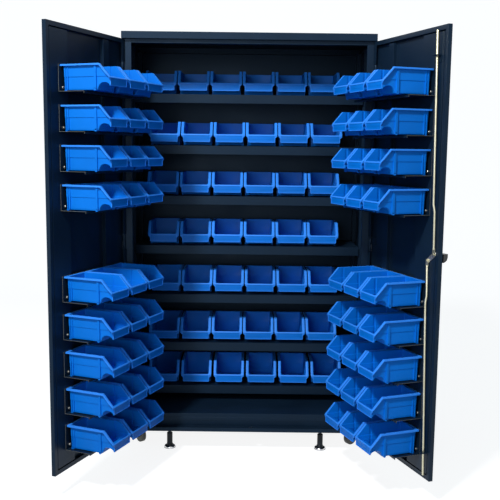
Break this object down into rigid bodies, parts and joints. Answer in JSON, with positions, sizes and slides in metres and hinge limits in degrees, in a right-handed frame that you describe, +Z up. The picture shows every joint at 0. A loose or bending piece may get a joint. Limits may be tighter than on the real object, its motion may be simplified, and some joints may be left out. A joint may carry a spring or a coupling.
{
  "type": "parts bin cabinet",
  "caption": "Tall steel parts cabinet with hopper bins on shelves and on trays inside both hinged doors, a turn handle with locking rods, levelling feet and casters.",
  "frame": {"origin": "on the floor below the middle of the front opening, in the plane of the cabinet's front frame", "axes": "+X to the right seen from the front, +Y into the cabinet, +Z up"},
  "size_m": [1.6913, 1.1825, 2.091],
  "materials": {
    "cabinet_paint": "textured near-black navy powder coat",
    "bin_plastic": "moulded bright blue polypropylene, satin",
    "zinc_plate": "bright zinc plate",
    "chrome_plate": "plated levelling foot",
    "wheel_rubber": "dark grey moulded rubber tread",
    "handle_paint": "black painted die casting"
  },
  "bodies": {
    "cabinet": {"left_side_panel": "cabinet_paint", "right_side_panel": "cabinet_paint", "back_panel": "cabinet_paint", "top_cover": "cabinet_paint", "header_rail": "cabinet_paint", "sill_rail": "cabinet_paint", "floor_panel": "cabinet_paint", "base_long_rails": "cabinet_paint", "base_cross_rails": "cabinet_paint", "shelf_uprights": "cabinet_paint", "shelf_clips": "zinc_plate", "shelf_1": "cabinet_paint", "shelf_2": "cabinet_paint", "shelf_3": "cabinet_paint", "shelf_4": "cabinet_paint", "shelf_5": "cabinet_paint", "shelf_6": "cabinet_paint", "shelf_7": "cabinet_paint", "frame_hinge_leaves": "cabinet_paint", "caster_plates": "zinc_plate", "rear_caster_forks": "zinc_plate", "foot_nuts": "zinc_plate"},
    "left_door": {"left_door": "cabinet_paint", "left_door_stiffeners": "cabinet_paint", "left_bin_trays": "cabinet_paint", "left_tray_bolts": "zinc_plate", "left_door_hinges": "cabinet_paint"},
    "right_door": {"right_door": "cabinet_paint", "right_door_stiffener": "cabinet_paint", "lock_channel": "cabinet_paint", "right_bin_trays": "cabinet_paint", "right_tray_bolts": "zinc_plate", "right_door_hinges": "cabinet_paint", "rod_guides": "zinc_plate", "lock_housing": "handle_paint"},
    "handle": {"handle": "handle_paint", "lock_cam": "zinc_plate"},
    "upper_rod": {"upper_rod": "zinc_plate"},
    "lower_rod": {"lower_rod": "zinc_plate"},
    "shelf_1_bins": {"shelf_1_bins": "bin_plastic"},
    "shelf_2_bins": {"shelf_2_bins": "bin_plastic"},
    "shelf_3_bins": {"shelf_3_bins": "bin_plastic"},
    "shelf_4_bins": {"shelf_4_bins": "bin_plastic"},
    "shelf_5_bins": {"shelf_5_bins": "bin_plastic"},
    "shelf_6_bins": {"shelf_6_bins": "bin_plastic"},
    "shelf_7_bins": {"shelf_7_bins": "bin_plastic"},
    "left_upper_bins": {"left_upper_bins": "bin_plastic"},
    "left_lower_bins": {"left_lower_bins": "bin_plastic"},
    "right_upper_bins": {"right_upper_bins": "bin_plastic"},
    "right_lower_bins": {"right_lower_bins": "bin_plastic"},
    "front_left_foot": {"front_left_foot": "chrome_plate"},
    "front_left_wheel": {"front_left_wheel": "wheel_rubber"},
    "front_left_fork": {"front_left_fork": "zinc_plate"},
    "front_right_foot": {"front_right_foot": "chrome_plate"},
    "front_right_wheel": {"front_right_wheel": "wheel_rubber"},
    "front_right_fork": {"front_right_fork": "zinc_plate"},
    "rear_left_foot": {"rear_left_foot": "chrome_plate"},
    "rear_left_wheel": {"rear_left_wheel": "wheel_rubber"},
    "rear_right_foot": {"rear_right_foot": "chrome_plate"},
    "rear_right_wheel": {"rear_right_wheel": "wheel_rubber"}
  },
  "joints": [
    {"name": "left_door_hinge", "type": "hinge", "parent": "cabinet", "child": "left_door", "pos_m": [-0.606, -0.0105, 1.084], "axis": [0, 0, -1], "range_deg": [-112, 63]},
    {"name": "right_door_hinge", "type": "hinge", "parent": "cabinet", "child": "right_door", "pos_m": [0.606, -0.0105, 1.084], "axis": [0, 0, 1], "range_deg": [-110.3, 64.7]},
    {"name": "handle_turn", "type": "hinge", "parent": "right_door", "child": "handle", "pos_m": [0.79734, -0.52775, 1.094], "axis": [0.9379, 0.3469, 0], "range_deg": [-53.5, 0]},
    {"name": "upper_rod_slide", "type": "slide", "parent": "right_door", "child": "upper_rod", "axis": [0.0113, -0.0306, -0.9995], "range_m": [-0.01175, 0]},
    {"name": "lower_rod_slide", "type": "slide", "parent": "right_door", "child": "lower_rod", "axis": [-0.0171, 0.0461, 0.9988], "range_m": [-0.01175, 0]},
    {"name": "shelf_1_bins_slide", "type": "slide", "parent": "cabinet", "child": "shelf_1_bins", "axis": [0, -1, 0], "range_m": [0, 0.24]},
    {"name": "shelf_2_bins_slide", "type": "slide", "parent": "cabinet", "child": "shelf_2_bins", "axis": [0, -1, 0], "range_m": [0, 0.24]},
    {"name": "shelf_3_bins_slide", "type": "slide", "parent": "cabinet", "child": "shelf_3_bins", "axis": [0, -1, 0], "range_m": [0, 0.24]},
    {"name": "shelf_4_bins_slide", "type": "slide", "parent": "cabinet", "child": "shelf_4_bins", "axis": [0, -1, 0], "range_m": [0, 0.24]},
    {"name": "shelf_5_bins_slide", "type": "slide", "parent": "cabinet", "child": "shelf_5_bins", "axis": [0, -1, 0], "range_m": [0, 0.24]},
    {"name": "shelf_6_bins_slide", "type": "slide", "parent": "cabinet", "child": "shelf_6_bins", "axis": [0, -1, 0], "range_m": [0, 0.24]},
    {"name": "shelf_7_bins_slide", "type": "slide", "parent": "cabinet", "child": "shelf_7_bins", "axis": [0, -1, 0], "range_m": [0, 0.24]},
    {"name": "left_upper_bins_slide", "type": "slide", "parent": "left_door", "child": "left_upper_bins", "axis": [0.9272, -0.3746, 0], "range_m": [0, 0.24]},
    {"name": "left_lower_bins_slide", "type": "slide", "parent": "left_door", "child": "left_lower_bins", "axis": [0.9272, -0.3746, 0], "range_m": [0, 0.24]},
    {"name": "right_upper_bins_slide", "type": "slide", "parent": "right_door", "child": "right_upper_bins", "axis": [-0.9379, -0.3469, 0], "range_m": [0, 0.24]},
    {"name": "right_lower_bins_slide", "type": "slide", "parent": "right_door", "child": "right_lower_bins", "axis": [-0.9379, -0.3469, 0], "range_m": [0, 0.24]},
    {"name": "front_left_foot_height", "type": "slide", "parent": "cabinet", "child": "front_left_foot", "axis": [0, 0, 1], "range_m": [-0.01, 0.015]},
    {"name": "front_left_fork_swivel", "type": "hinge", "parent": "cabinet", "child": "front_left_fork", "pos_m": [-0.535, 0.115, 0.08], "axis": [0, 0, 1], "continuous": true},
    {"name": "front_left_wheel_spin", "type": "hinge", "parent": "front_left_fork", "child": "front_left_wheel", "pos_m": [-0.55101, 0.13549, 0.041], "axis": [0.788, 0.6157, 0], "continuous": true},
    {"name": "front_right_foot_height", "type": "slide", "parent": "cabinet", "child": "front_right_foot", "axis": [0, 0, 1], "range_m": [-0.01, 0.015]},
    {"name": "front_right_fork_swivel", "type": "hinge", "parent": "cabinet", "child": "front_right_fork", "pos_m": [0.535, 0.115, 0.08], "axis": [0, 0, 1], "continuous": true},
    {"name": "front_right_wheel_spin", "type": "hinge", "parent": "front_right_fork", "child": "front_right_wheel", "pos_m": [0.55549, 0.13101, 0.041], "axis": [0.6157, -0.788, 0], "continuous": true},
    {"name": "rear_left_foot_height", "type": "slide", "parent": "cabinet", "child": "rear_left_foot", "axis": [0, 0, 1], "range_m": [-0.01, 0.015]},
    {"name": "rear_left_wheel_spin", "type": "hinge", "parent": "cabinet", "child": "rear_left_wheel", "pos_m": [-0.535, 0.517, 0.041], "axis": [1, 0, 0], "continuous": true},
    {"name": "rear_right_foot_height", "type": "slide", "parent": "cabinet", "child": "rear_right_foot", "axis": [0, 0, 1], "range_m": [-0.01, 0.015]},
    {"name": "rear_right_wheel_spin", "type": "hinge", "parent": "cabinet", "child": "rear_right_wheel", "pos_m": [0.535, 0.517, 0.041], "axis": [1, 0, 0], "continuous": true}
  ],
  "couplings": [
    {"joint": "upper_rod_slide", "follows": "handle_turn", "m_per_rad": 0.012584},
    {"joint": "lower_rod_slide", "follows": "handle_turn", "m_per_rad": 0.012584}
  ]
}
